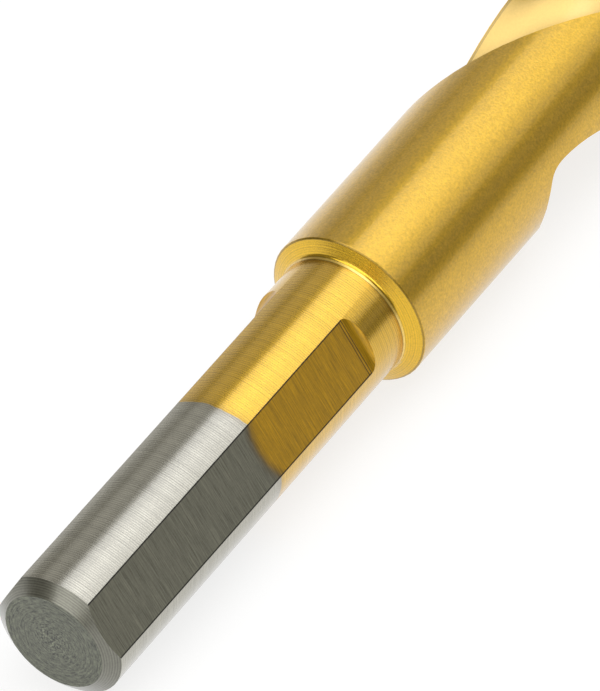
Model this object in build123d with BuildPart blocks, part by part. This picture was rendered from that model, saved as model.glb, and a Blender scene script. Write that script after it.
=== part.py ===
# Reduced-shank twist drill bit with three flats, lying on its side.
# X runs from the shank end to the point, Z is up, and the ground is at Z = 0.
import os
from math import asin, cos, degrees, pi, radians, sin, tan

from build123d import *

# Overall sizes in millimetres
overall_length = 152.4
shank_diameter = 12.7
shank_length = 46.9
body_diameter = 15.875

# Chamfer at the shank end
end_chamfer_length = 0.96
end_chamfer_depth = 1.39

# Flats ground on the shank, with the hollow end that the wheel's corner leaves
flat_count = 3
flat_depth = 0.725
flat_length = 40.85
flat_end_radius = 0.95
first_flat_angle = -90

# Shoulder where the body steps up from the shank
shoulder_slope_length = 0.7
shoulder_root_radius = 0.5
shoulder_edge_break = 0.12

# Flutes with a right-hand twist, measured from the shoulder
flute_count = 2
helix_angle = 30
web_thickness = 2.6
flute_start = 21.1
flute_runout_length = 15.6
flute_end_flat = 1.0
flute_section_spacing = 2.5
first_flute_angle = -90

# Half the width of a flute, in degrees about the axis on a section square to its helix
flute_half_angle = 37.3

# Outline of that section from the cutting face round to the heel: share of the way
# from the web to the body's surface, then share of the half width
flute_outline = [
    (1.30, -0.97),
    (1.00, -1.00),
    (0.71, -1.11),
    (0.41, -1.15),
    (0.18, -0.99),
    (0.03, -0.37),
    (0.00, 0.38),
    (0.105, 1.50),
    (0.33, 1.58),
    (0.63, 1.36),
    (1.00, 1.00),
    (1.30, 0.88),
]

# Body clearance behind the margins, measured from the shoulder
margin_width = 1.5
margin_height = 0.35
margin_start = 43.0
margin_start_clearance = 0.07
margin_runout_length = 4.0
margin_section_spacing = 3.5

# Ground point
point_angle = 118
chisel_angle = 120

# How far a cutter reaches past the surface, and how many sections its run-out gets
cutter_reach = 3.0
runout_sections = 8

# Values worked out from the sizes above
shank_radius = shank_diameter / 2
body_radius = body_diameter / 2
web_radius = web_thickness / 2
shank_end = -overall_length / 2
point_end = overall_length / 2
shoulder = shank_end + shank_length
axis_height = body_radius
helix_lead = pi * body_diameter / tan(radians(helix_angle))
point_slope = 1 / tan(radians(point_angle / 2))
point_length = body_radius * point_slope
flute_side_angle = flute_half_angle + degrees(tan(radians(helix_angle)) ** 2 * sin(radians(flute_half_angle)))


def twist(distance):
    """Degrees that the flutes turn over a distance along the axis."""
    return 360 * distance / helix_lead


def radial(angle):
    """Unit vector out from the axis, at an angle from +Y towards +Z."""
    return Vector(0, cos(radians(angle)), sin(radians(angle)))


def on_axis(x):
    """Point of the drill's axis."""
    return Vector(x, 0, axis_height)


def stations(start, runout, spacing):
    """Places along the axis for a twisted cutter's sections, and how far each is still lifted."""
    places = [(start + runout * i / runout_sections, (1 - i / runout_sections) ** 2)
              for i in range(runout_sections)]
    full_depth = start + runout
    rest = point_end + cutter_reach - full_depth
    count = max(2, round(rest / spacing))
    return places + [(full_depth + rest * i / count, 0.0) for i in range(count + 1)]


def flute_plane(x, angle):
    """Plane square to a flute's helix, with its X axis out through the flute's middle."""
    along = Vector(cos(radians(helix_angle)), 0, 0) + radial(angle + 90) * sin(radians(helix_angle))
    return Plane(origin=on_axis(x), x_dir=radial(angle), z_dir=along)


def flute_points(lifted):
    """Outline points of a flute's section, which flattens at the bottom as it lifts off the axis."""
    depth = body_radius - web_radius
    lowest = web_radius + lifted * flute_end_flat
    points = []
    for depth_share, width_share in flute_outline:
        radius = web_radius + depth_share * depth
        angle = radians(width_share * flute_half_angle)
        out = max(radius * cos(angle), lowest) + lifted * (depth - flute_end_flat)
        points.append((out, radius * sin(angle) / cos(radians(helix_angle))))
    return points


# Turned blank: shank, shoulder, body and the blunt end that the point is ground from
with BuildPart() as drill_bit:
    with BuildSketch(Plane(origin=on_axis(0), x_dir=(1, 0, 0), z_dir=(0, 1, 0))) as blank:
        with BuildLine():
            Polyline(
                (shank_end, 0),
                (shank_end, shank_radius - end_chamfer_depth),
                (shank_end + end_chamfer_length, shank_radius),
                (shoulder - shoulder_slope_length, shank_radius),
                (shoulder, body_radius - shoulder_edge_break),
                (shoulder + shoulder_edge_break, body_radius),
                (point_end, body_radius),
                (point_end, 0),
                close=True,
            )
        make_face()
        shoulder_root = blank.vertices().sort_by_distance((shoulder - shoulder_slope_length, shank_radius, 0))[0]
        fillet(shoulder_root, shoulder_root_radius)
    revolve(axis=Axis(on_axis(0), (1, 0, 0)))

    # Flats
    flat_distance = shank_radius - flat_depth
    flat_end = shank_end + flat_length
    hollow_end = flat_end + flat_end_radius
    for i in range(flat_count):
        out = radial(first_flat_angle + 360 * i / flat_count)
        with BuildSketch(Plane(origin=on_axis(0), x_dir=(1, 0, 0), z_dir=Vector(1, 0, 0).cross(out))):
            with BuildLine():
                RadiusArc((flat_end, flat_distance), (hollow_end, flat_distance + flat_end_radius), -flat_end_radius)
                Polyline(
                    (hollow_end, flat_distance + flat_end_radius),
                    (hollow_end, shank_radius + cutter_reach),
                    (shank_end - cutter_reach, shank_radius + cutter_reach),
                    (shank_end - cutter_reach, flat_distance),
                    (flat_end, flat_distance),
                )
            make_face()
        extrude(amount=shank_radius, both=True, mode=Mode.SUBTRACT)

    # Flutes: each lifts out towards the neck
    for i in range(flute_count):
        for x, lifted in stations(shoulder + flute_start, flute_runout_length, flute_section_spacing):
            angle = first_flute_angle + 360 * i / flute_count + twist(x - shoulder)
            points = flute_points(lifted)
            outside = points[0][0] + cutter_reach
            with BuildSketch(flute_plane(x, angle)):
                with BuildLine():
                    Spline(points)
                    Polyline(points[-1], (outside, points[-1][1]), (outside, points[0][1]), points[0])
                make_face()
        loft(mode=Mode.SUBTRACT)

    # Clearance behind each margin, up to the heel of its land
    land_half_angle = 180 / flute_count - flute_side_angle
    margin_turn = degrees(margin_width / body_radius)
    outside = body_radius + cutter_reach
    for i in range(flute_count):
        for x, lifted in stations(shoulder + margin_start, margin_runout_length, margin_section_spacing):
            land = first_flute_angle + 360 * (i + 0.5) / flute_count + twist(x - shoulder)
            back = land + land_half_angle - margin_turn
            heel = land - land_half_angle - margin_turn
            inside = body_radius - margin_height + lifted * (margin_height + margin_start_clearance)
            with BuildSketch(Plane(origin=on_axis(x), x_dir=(0, 1, 0), z_dir=(1, 0, 0))):
                with BuildLine():
                    floor = CenterArc((0, 0), inside, heel, back - heel)
                    roof = CenterArc((0, 0), outside, heel, back - heel)
                    Line(floor @ 0, roof @ 0)
                    Line(floor @ 1, roof @ 1)
                make_face()
        loft(mode=Mode.SUBTRACT)

    # Point: two flanks that fall away behind the cutting lips
    flute_middle = first_flute_angle + twist(point_end - point_length - shoulder)
    lip_direction = flute_middle - flute_side_angle - degrees(asin(web_radius / body_radius))
    relief_slope = point_slope * tan(radians(chisel_angle - 90))
    for turn in (0, 180):
        lip = radial(lip_direction + turn) * point_slope
        relief = radial(lip_direction + turn - 90) * relief_slope
        split(bisect_by=Plane(origin=on_axis(point_end), z_dir=Vector(1, 0, 0) + lip + relief), keep=Keep.BOTTOM)

drill_bit.part.label = "drill_bit"
os.makedirs("parts", exist_ok=True)
export_step(drill_bit.part, "parts/drill_bit.step")
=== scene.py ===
import bpy, math
from mathutils import Matrix, Vector

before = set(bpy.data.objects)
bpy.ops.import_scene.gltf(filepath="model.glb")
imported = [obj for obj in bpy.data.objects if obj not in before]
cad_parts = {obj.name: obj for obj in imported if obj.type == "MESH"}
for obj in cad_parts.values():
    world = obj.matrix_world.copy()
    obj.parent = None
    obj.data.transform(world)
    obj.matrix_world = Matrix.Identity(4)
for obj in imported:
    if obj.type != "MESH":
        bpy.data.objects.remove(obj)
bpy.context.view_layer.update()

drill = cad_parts["drill_bit"]
print("frame loaded, drill", len(drill.data.polygons), "faces")

# Where the photo was taken from: degrees round the drill and above the floor, lengths in metres
photoView = {
    "aimPoint": (-0.0357118, 0.0009322, 0.0085146),
    "azimuth": -53.717,
    "elevation": 43.709,
    "roll": -5.069,
    "distance": 0.845279,
    "lens": 501.004,
    "sensorWidth": 36.0,
    "clipNear": 0.05,
    "clipFar": 20.0,
}


def addCamera(view):
    # a turn about the line of sight, after looking down that line at the aim point
    a, e = math.radians(view["azimuth"]), math.radians(view["elevation"])
    back = Vector((math.sin(a) * math.cos(e), -math.cos(a) * math.cos(e), math.sin(e)))
    level = back.to_track_quat("Z", "Y").to_matrix().to_4x4()
    roll = Matrix.Rotation(math.radians(view["roll"]), 4, "Z")
    data = bpy.data.cameras.new("photoCamera")
    data.lens = view["lens"]
    data.sensor_width = view["sensorWidth"]
    data.clip_start, data.clip_end = view["clipNear"], view["clipFar"]
    camera = bpy.data.objects.new("photoCamera", data)
    bpy.context.scene.collection.objects.link(camera)
    place = Vector(view["aimPoint"]) + back * view["distance"]
    camera.matrix_world = Matrix.Translation(place) @ level @ roll
    bpy.context.scene.camera = camera


addCamera(photoView)
print("camera placed")

# The drill's own measures in millimetres, from the shank end and from the axis
drillSize = {
    "shankEnd": 76.2,
    "axisHeight": 7.9375,
    "shankRadius": 6.35,
    "flatDistance": 5.625,
    "flatAngles": (-90, 30, 150),
    "flatEnd": 40.85,
    "hollowRadius": 0.95,
    "chamferLength": 0.96,
    "rootStart": 45.885,
    "rootEnd": 46.12,
    "shoulderEnd": 46.9,
    "bodyRadius": 7.9375,
    "neckEnd": 60.0,
    "clearanceStart": 89.9,
    "clearanceDepth": 0.35,
    "endSkin": 0.01,       # what still counts as the end face
    "flatSkin": 0.012,     # and as a flat
    "joinSkin": 0.02,      # how far a finish reaches past the line where two faces meet
    "landSkin": 0.05,      # how far below the lands a flute's finish starts
}

# Steel and its gold coating; colours are the metal's own except the gold root's and flutes', which also
# paint in light, roughness 0 is a mirror
finish = {
    "steel": {
        "plain": (0.365, 0.350, 0.290),
        "flat": (0.204, 0.201, 0.153),
        "chamfer": (0.180, 0.178, 0.145),
        "end": (0.108, 0.115, 0.080),
    },
    "gold": {
        "plain": (0.645, 0.392, 0.031),
        "flat": (0.540, 0.296, 0.003),
        "shoulder": (0.740, 0.450, 0.018),
        # the root fillet's pale cream is a painted highlight: the bright band the fillet catches
        "root": (0.900, 0.640, 0.160),
        # the flutes' paler, whiter gold is a painted reflection of the bright light above them
        "flute": (0.630, 0.435, 0.125),
    },
    "roughness": {
        "round": 0.27,
        "flat": 0.38,
        "chamfer": 0.30,
        "end": 0.42,
        "shoulder": 0.24,
        "root": 0.40,
        "body": 0.34,
        "flute": 0.42,
    },
    "glossWeight": 0.8,
    "glossIor": 1.5,
    "glossRoughness": 0.18,
}

# The coating's edge on the shank, in millimetres
coating = {
    "edge": 25.62,                     # from the shank end
    "tilt": -0.085,                    # how far the edge leans, per mm across
    "creep": 1.0,                      # how far it comes down the flats, per mm of their depth
    "wander": 0.5,
    "softness": (0.07, 0.3),           # on the round and on the flats
    "smokeColour": (0.15, 0.105, 0.04),
    "smokeWidth": 0.9,
    "smokeStrength": (0.25, 0.6),      # on the round and on the flats
}

# Dark lines along edges, in millimetres; a strength of 1 takes the whole darkness
edgeLines = {
    "darkness": 0.80,
    "flatWidth": 0.13,
    "hollowPlaces": (-0.32, -0.02),    # from the flats' end
    "hollowHalfWidth": 0.05,
    "fluteDepth": 0.28,
    "fluteStrength": 0.45,
    # the dark ring at the foot of the shoulder is painted shade in the fillet
    "footShadeStrength": 0.6,
    "outerEdgePlace": 0.03,            # past the shoulder's end
    "outerEdgeStrength": 0.55,
    "ringHalfWidth": 0.055,
}

# Marks that turning and grinding leave
toolMarks = {
    # changes per mm along the axis and across it, detail, and how harsh the detail is
    "noises": {
        "fineLines": (6.2, 0.10, 0.0, 0.5),
        "broadLines": (2.2, 0.05, 3.0, 0.7),
        "flatLines": (10.5, 0.38, 2.0, 0.7),
        "longLines": (4.0, 0.08, 3.0, 0.7),
        "grain": (4.6, 4.6, 2.0, 0.6),
        "mottle": (1.6, 1.6, 3.0, 0.6),
        "patches": (0.45, 0.45, 2.0, 0.5),
    },
    # changes per mm out from the axis and per radian round it, detail and its harshness
    "ringLines": (6.5, 0.0, 2.0, 0.6),
    "endArcs": (6.5, 4.5, 3.0, 0.75),
    "grooveSpacing": 0.235,
    "grooveWander": 0.10,
    "coneGrooveSpacing": 0.185,
    "centreFade": (0.3, 2.6),          # radii between which the end's torn middle fades out
    # how strongly each mark lightens and darkens a finish
    "shading": {
        "round": {"fineLines": 0.30, "broadLines": 0.06, "grooves": 0.20, "grain": 0.22},
        "flat": {"flatLines": 1.5, "longLines": 0.25, "grain": 0.3},
        "shoulder": {"ringLines": 0.6, "coneGrooves": 0.14, "grain": 0.4},
        "chamfer": {"ringLines": 0.8, "coneGrooves": 0.42, "grain": 0.5},
        "end": {"endArcs": 4.6, "grain": 1.2, "ringLines": 1.0, "mottle": 0.8},
        "endCentre": {"grain": 5.0, "mottle": 1.5},
        "body": {"grain": 0.8, "mottle": 0.25},
        "flute": {"grain": 0.2},
    },
    # how deep each mark is, in mm
    "depth": {
        "round": {"fineLines": 0.0028, "grooves": 0.003},
        "flat": {"flatLines": 0.009},
        "shoulder": {"ringLines": 0.012},
        "chamfer": {"ringLines": 0.012},
        "end": {"endArcs": 0.05, "grain": 0.026, "ringLines": 0.006},
        "endCentre": {"grain": 0.06},
        "body": {"grain": 0.018},
    },
}


# small helpers that lay nodes in a tree
def socket(tree, node, name, value):
    target = node.inputs[name]
    if isinstance(value, bpy.types.NodeSocket):
        tree.links.new(value, target)
    else:
        target.default_value = value


def sums(tree, operation, *values):
    # one arithmetic step on numbers or sockets
    node = tree.nodes.new("ShaderNodeMath")
    node.operation = operation
    for i, value in enumerate(values):
        socket(tree, node, i, value)
    return node.outputs[0]


def both(tree, a, b):
    return sums(tree, "MULTIPLY", a, b)


def without(tree, a):
    return sums(tree, "SUBTRACT", 1.0, a)


def above(tree, value, limit):
    return sums(tree, "GREATER_THAN", value, limit)


def blendColour(tree, share, a, b, way="MIX"):
    node = tree.nodes.new("ShaderNodeMix")
    node.data_type, node.blend_type = "RGBA", way
    for name, value in (("Factor_Float", share), ("A_Color", a), ("B_Color", b)):
        target = next(s for s in node.inputs if s.identifier == name)
        if isinstance(value, bpy.types.NodeSocket):
            tree.links.new(value, target)
        else:
            target.default_value = (*value, 1.0) if isinstance(value, tuple) else value
    return next(s for s in node.outputs if s.identifier == "Result_Color")


def blendNumber(tree, share, a, b):
    # a + share * (b - a)
    return sums(tree, "MULTIPLY_ADD", share, sums(tree, "SUBTRACT", b, a), a)


def layered(tree, blend, places, values):
    # the first value, with each later one laid over it where its finish is
    names = list(values)
    result = values[names[0]]
    for name in names[1:]:
        result = blend(tree, places[name], result, values[name])
    return result


def weighted(tree, marks, weights, middle):
    # how far marks lie from their middle, each times its weight, added up
    total = 0.0
    for name, weight in weights.items():
        total = sums(tree, "MULTIPLY_ADD", sums(tree, "SUBTRACT", marks[name], middle), weight, total)
    return total


def speckle(tree, vector, detail, harshness):
    # cloudy noise, about 0.5 on average
    node = tree.nodes.new("ShaderNodeTexNoise")
    tree.links.new(vector, node.inputs["Vector"])
    node.inputs["Scale"].default_value = 1.0
    node.inputs["Detail"].default_value = detail
    node.inputs["Roughness"].default_value = harshness
    return node.outputs[0]


def ripple(tree, value, spacing):
    # a wave between 0 and 1 that repeats after each spacing
    wave = sums(tree, "SINE", both(tree, value, 2 * math.pi / spacing))
    return sums(tree, "MULTIPLY_ADD", wave, 0.5, 0.5)


def fade(tree, value, start, end):
    # 0 before start, 1 after end, smooth between
    node = tree.nodes.new("ShaderNodeMapRange")
    node.interpolation_type = "SMOOTHSTEP"
    socket(tree, node, "Value", value)
    socket(tree, node, "From Min", start)
    socket(tree, node, "From Max", end)
    return node.outputs[0]


def ringLine(tree, along, place, halfWidth):
    # 1 within half a width of a place along the axis
    step = sums(tree, "ABSOLUTE", sums(tree, "SUBTRACT", along, place))
    return without(tree, above(tree, step, halfWidth))


def drillPlace(tree, size):
    # millimetres along the axis from the shank end, across it and up from it, and out from it
    local = tree.nodes.new("ShaderNodeMapping")
    local.inputs["Scale"].default_value = (1000, 1000, 1000)
    local.inputs["Location"].default_value = (size["shankEnd"], 0, -size["axisHeight"])
    tree.links.new(tree.nodes.new("ShaderNodeTexCoord").outputs["Object"], local.inputs["Vector"])
    split = tree.nodes.new("ShaderNodeSeparateXYZ")
    tree.links.new(local.outputs[0], split.inputs[0])
    along, side, up = split.outputs
    radius = sums(tree, "SQRT", sums(tree, "ADD", both(tree, side, side), both(tree, up, up)))

    # the lands lie at the body's radius, and lower once their clearance has started
    cleared = above(tree, along, size["clearanceStart"])
    landRadius = blendNumber(tree, cleared, size["bodyRadius"], size["bodyRadius"] - size["clearanceDepth"])
    return {"mm": local.outputs[0], "along": along, "side": side, "up": up, "radius": radius,
            "landRadius": landRadius}


def finishPlaces(tree, size, marks, at):
    # for each finish, 1 where it is and 0 elsewhere
    along, side, up, radius = at["along"], at["side"], at["up"], at["radius"]

    # distance from the axis towards the nearest flat: the largest over the three flats
    flatReach = 0.0
    for angle in size["flatAngles"]:
        c, s = math.cos(math.radians(angle)), math.sin(math.radians(angle))
        reach = sums(tree, "ADD", both(tree, side, c), both(tree, up, s))
        flatReach = sums(tree, "MAXIMUM", flatReach, reach)

    # how far out a flat lies: level, then up the hollow curve at its end
    hollow = size["hollowRadius"]
    pastFlat = sums(tree, "MAXIMUM", sums(tree, "SUBTRACT", along, size["flatEnd"]), 0.0)
    fall = sums(tree, "SUBTRACT", hollow * hollow, both(tree, pastFlat, pastFlat))
    fall = sums(tree, "SQRT", sums(tree, "MAXIMUM", fall, 0.0))
    flatLies = sums(tree, "SUBTRACT", size["flatDistance"] + hollow - size["flatSkin"], fall)
    beforeBody = without(tree, above(tree, along, size["flatEnd"] + hollow))
    flat = both(tree, above(tree, flatReach, flatLies), beforeBody)

    end = without(tree, above(tree, along, size["endSkin"]))
    chamfer = both(tree, without(tree, end), without(tree, above(tree, along, size["chamferLength"])))
    chamfer = both(tree, chamfer, without(tree, flat))
    shank = without(tree, above(tree, along, size["rootStart"]))
    notRound = sums(tree, "MAXIMUM", sums(tree, "MAXIMUM", end, chamfer), flat)
    pastShoulder = above(tree, along, size["shoulderEnd"] - size["joinSkin"])
    shoulder = both(tree, without(tree, shank), without(tree, pastShoulder))
    belowLand = above(tree, sums(tree, "SUBTRACT", at["landRadius"], size["landSkin"]), radius)
    flute = both(tree, above(tree, along, size["neckEnd"]), belowLand)
    return {
        "end": end,
        "endCentre": both(tree, end, without(tree, fade(tree, radius, *marks["centreFade"]))),
        "chamfer": chamfer,
        "round": both(tree, shank, without(tree, notRound)),
        "flat": flat,
        "hollow": both(tree, flat, above(tree, along, size["flatEnd"] + size["joinSkin"])),
        "shoulder": shoulder,
        "root": both(tree, shoulder, without(tree, above(tree, along, size["rootEnd"]))),
        "body": both(tree, pastShoulder, without(tree, flute)),
        "flute": flute,
    }


def turnedMarks(tree, marks, at):
    # lines run round the axis, so their noise changes fast along it and slowly across
    made = {}
    for name, (along, across, detail, harshness) in marks["noises"].items():
        stretch = tree.nodes.new("ShaderNodeMapping")
        stretch.inputs["Scale"].default_value = (along, across, across)
        tree.links.new(at["mm"], stretch.inputs["Vector"])
        made[name] = speckle(tree, stretch.outputs[0], detail, harshness)

    # rings and broken arcs on the end and the cones
    turn = sums(tree, "ARCTAN2", at["up"], at["side"])
    for name in ("ringLines", "endArcs"):
        perMm, perRadian, detail, harshness = marks[name]
        polar = tree.nodes.new("ShaderNodeCombineXYZ")
        tree.links.new(both(tree, at["radius"], perMm), polar.inputs[0])
        tree.links.new(both(tree, turn, perRadian), polar.inputs[1])
        made[name] = speckle(tree, polar.outputs[0], detail, harshness)

    # even grooves
    groovePlace = sums(tree, "MULTIPLY_ADD", made["grain"], marks["grooveWander"], at["along"])
    made["grooves"] = ripple(tree, groovePlace, marks["grooveSpacing"])
    made["coneGrooves"] = ripple(tree, at["radius"], marks["coneGrooveSpacing"])
    return made


def coatingReach(tree, size, coat, marks, at, places):
    # 1 where the gold is, and how strong the smoke is along its edge
    sunk = sums(tree, "SUBTRACT", size["shankRadius"], at["radius"])
    wander = both(tree, sums(tree, "SUBTRACT", marks["patches"], 0.5), coat["wander"])
    edge = sums(tree, "MULTIPLY_ADD", at["side"], coat["tilt"], coat["edge"])
    edge = sums(tree, "SUBTRACT", edge, both(tree, sunk, coat["creep"]))
    pastEdge = sums(tree, "SUBTRACT", sums(tree, "ADD", at["along"], wander), edge)
    softness = blendNumber(tree, places["flat"], *coat["softness"])
    coated = fade(tree, pastEdge, both(tree, softness, -1.0), softness)
    width = coat["smokeWidth"]
    smoky = both(tree, fade(tree, pastEdge, -width, 0.0), without(tree, fade(tree, pastEdge, 0.0, width)))
    smoky = both(tree, smoky, blendNumber(tree, places["flat"], *coat["smokeStrength"]))
    return coated, smoky


def darkEdges(tree, size, lines, at, places):
    # where the flats meet the round, and where they turn up into the hollow
    halfFlat = math.sqrt(size["shankRadius"] ** 2 - size["flatDistance"] ** 2)
    rimRadius = math.hypot(size["flatDistance"], halfFlat - lines["flatWidth"])
    rim = both(tree, places["flat"], above(tree, at["radius"], rimRadius))
    rim = both(tree, rim, without(tree, places["hollow"]))
    for place in lines["hollowPlaces"]:
        line = ringLine(tree, at["along"], size["flatEnd"] + place, lines["hollowHalfWidth"])
        rim = sums(tree, "MAXIMUM", rim, both(tree, places["flat"], line))

    # fainter along the flutes' edges, at the foot of the shoulder, where the ring is painted shade in the
    # fillet, and at its outer edge
    rimStart = sums(tree, "SUBTRACT", at["landRadius"], lines["fluteDepth"])
    fluteRim = both(tree, places["flute"], above(tree, at["radius"], rimStart))
    rim = sums(tree, "MAXIMUM", rim, both(tree, fluteRim, lines["fluteStrength"]))
    outerEdge = size["shoulderEnd"] + lines["outerEdgePlace"]
    rings = ((size["rootStart"], lines["footShadeStrength"]), (outerEdge, lines["outerEdgeStrength"]))
    for place, strength in rings:
        line = ringLine(tree, at["along"], place, lines["ringHalfWidth"])
        rim = sums(tree, "MAXIMUM", rim, both(tree, line, strength))
    return rim


def coatedSteel(size, look, coat, lines, markSizes):
    material = bpy.data.materials.new("coatedSteel")
    material.use_nodes = True
    tree = material.node_tree
    shader = tree.nodes["Principled BSDF"]
    at = drillPlace(tree, size)
    places = finishPlaces(tree, size, markSizes, at)
    marks = turnedMarks(tree, markSizes, at)

    # steel, then gold over it, then the smoke along the gold's edge
    coated, smoky = coatingReach(tree, size, coat, marks, at, places)
    steel = layered(tree, blendColour, places, look["steel"])
    gold = layered(tree, blendColour, places, look["gold"])
    metal = blendColour(tree, coated, steel, gold)
    metal = blendColour(tree, smoky, metal, coat["smokeColour"])

    # lighter and darker by the marks, dark along the edges
    shade = 1.0
    for name, weights in markSizes["shading"].items():
        shade = sums(tree, "MULTIPLY_ADD", places[name], weighted(tree, marks, weights, 0.5), shade)
    rim = darkEdges(tree, size, lines, at, places)
    shade = both(tree, shade, sums(tree, "MULTIPLY_ADD", rim, -lines["darkness"], 1.0))
    grey = tree.nodes.new("ShaderNodeCombineColor")
    for i in range(3):
        tree.links.new(shade, grey.inputs[i])
    metal = blendColour(tree, 1.0, metal, grey.outputs[0], "MULTIPLY")
    tree.links.new(metal, shader.inputs["Base Color"])
    tree.links.new(layered(tree, blendNumber, places, look["roughness"]), shader.inputs["Roughness"])

    # the marks' depth in millimetres, for the bump
    height = 0.0
    for name, weights in markSizes["depth"].items():
        height = sums(tree, "MULTIPLY_ADD", places[name], weighted(tree, marks, weights, 0.0), height)
    bump = tree.nodes.new("ShaderNodeBump")
    bump.inputs["Strength"].default_value = 1.0
    bump.inputs["Distance"].default_value = 0.001
    tree.links.new(height, bump.inputs["Height"])
    tree.links.new(bump.outputs[0], shader.inputs["Normal"])

    shader.inputs["Metallic"].default_value = 1.0
    shader.inputs["Coat Weight"].default_value = look["glossWeight"]
    shader.inputs["Coat IOR"].default_value = look["glossIor"]
    shader.inputs["Coat Roughness"].default_value = look["glossRoughness"]
    return material


drill.data.materials[0] = coatedSteel(drillSize, finish, coating, edgeLines, toolMarks)
print("drill finished")

# Pale floor, soft boxes and the room's even light; a level of 1 is white
studio = {
    "floorHalfWidth": 4.0,
    "floorColour": (0.25, 0.25, 0.25),
    "floorLift": 0.79,
    "roomColour": (1.0, 0.96, 0.80),
    "roomLevel": 0.19,
    "boxDistance": 1.1,
    "plainLight": (1.0, 1.0, 1.0),
    # azimuth turns from the drill's point towards +Y, and each level is what a mirror shows
    "softBoxes": {
        "keyBox": {"azimuth": -8, "elevation": 62, "width": 0.85, "height": 0.42, "level": 1.9,
                   "colour": (0.96, 0.98, 1.07)},
        "lowBox": {"azimuth": -32, "elevation": 40, "width": 0.80, "height": 0.38, "level": 1.0},
        "midBox": {"azimuth": 35, "elevation": 38, "width": 0.80, "height": 0.35, "level": 0.5},
        "sideBox": {"azimuth": -52, "elevation": 18, "width": 0.80, "height": 0.20, "level": 0.25},
        "frontBox": {"azimuth": 10, "elevation": 20, "width": 2.20, "height": 0.35, "level": 0.4},
        "horizonBox": {"azimuth": 45, "elevation": 6, "width": 1.80, "height": 0.20, "level": 0.5},
        "topBox": {"azimuth": -120, "elevation": 80, "width": 1.10, "height": 0.90, "level": 2.0},
        "rearBox": {"azimuth": 165, "elevation": 44, "width": 0.80, "height": 0.45, "level": 1.8},
        "backBox": {"azimuth": 183, "elevation": 21, "width": 0.95, "height": 0.40, "level": 2.15},
    },
}


def paleFloor(half, colour, lift):
    mesh = bpy.data.meshes.new("floor")
    corners = [(-half, -half, 0), (half, -half, 0), (half, half, 0), (-half, half, 0)]
    mesh.from_pydata(corners, [], [(0, 1, 2, 3)])
    material = bpy.data.materials.new("paleFloor")
    material.use_nodes = True
    tree = material.node_tree
    shader = tree.nodes["Principled BSDF"]
    shader.inputs["Base Color"].default_value = (*colour, 1)
    shader.inputs["Roughness"].default_value = 1.0
    shader.inputs["Specular IOR Level"].default_value = 0.0

    # lifted to white where it is seen, straight or in the metal; the drill's shadow stays
    path = tree.nodes.new("ShaderNodeLightPath")
    seen = sums(tree, "MAXIMUM", path.outputs["Is Camera Ray"], path.outputs["Is Glossy Ray"])
    seen = sums(tree, "MAXIMUM", seen, path.outputs["Is Transmission Ray"])
    shader.inputs["Emission Color"].default_value = (1, 1, 1, 1)
    tree.links.new(both(tree, seen, lift), shader.inputs["Emission Strength"])
    mesh.materials.append(material)
    floor = bpy.data.objects.new("floor", mesh)
    bpy.context.scene.collection.objects.link(floor)


def addSoftBox(name, box, distance, plainLight):
    a, e = math.radians(box["azimuth"]), math.radians(box["elevation"])
    out = Vector((math.cos(e) * math.cos(a), math.cos(e) * math.sin(a), math.sin(e)))
    data = bpy.data.lights.new(name, "AREA")
    data.shape = "RECTANGLE"
    data.size, data.size_y = box["width"], box["height"]
    data.energy = box["level"] * math.pi * box["width"] * box["height"]
    data.color = box.get("colour", plainLight)
    lamp = bpy.data.objects.new(name, data)
    lamp.matrix_world = Matrix.Translation(out * distance) @ out.to_track_quat("Z", "Y").to_matrix().to_4x4()
    lamp.visible_camera = False
    bpy.context.scene.collection.objects.link(lamp)


paleFloor(studio["floorHalfWidth"], studio["floorColour"], studio["floorLift"])
for name, box in studio["softBoxes"].items():
    addSoftBox(name, box, studio["boxDistance"], studio["plainLight"])
room = bpy.data.worlds.new("room")
bpy.context.scene.world = room
room.use_nodes = True
room.node_tree.nodes["Background"].inputs["Color"].default_value = (*studio["roomColour"], 1)
room.node_tree.nodes["Background"].inputs["Strength"].default_value = studio["roomLevel"]
bpy.context.scene.view_settings.view_transform = "Standard"
print("studio lit")
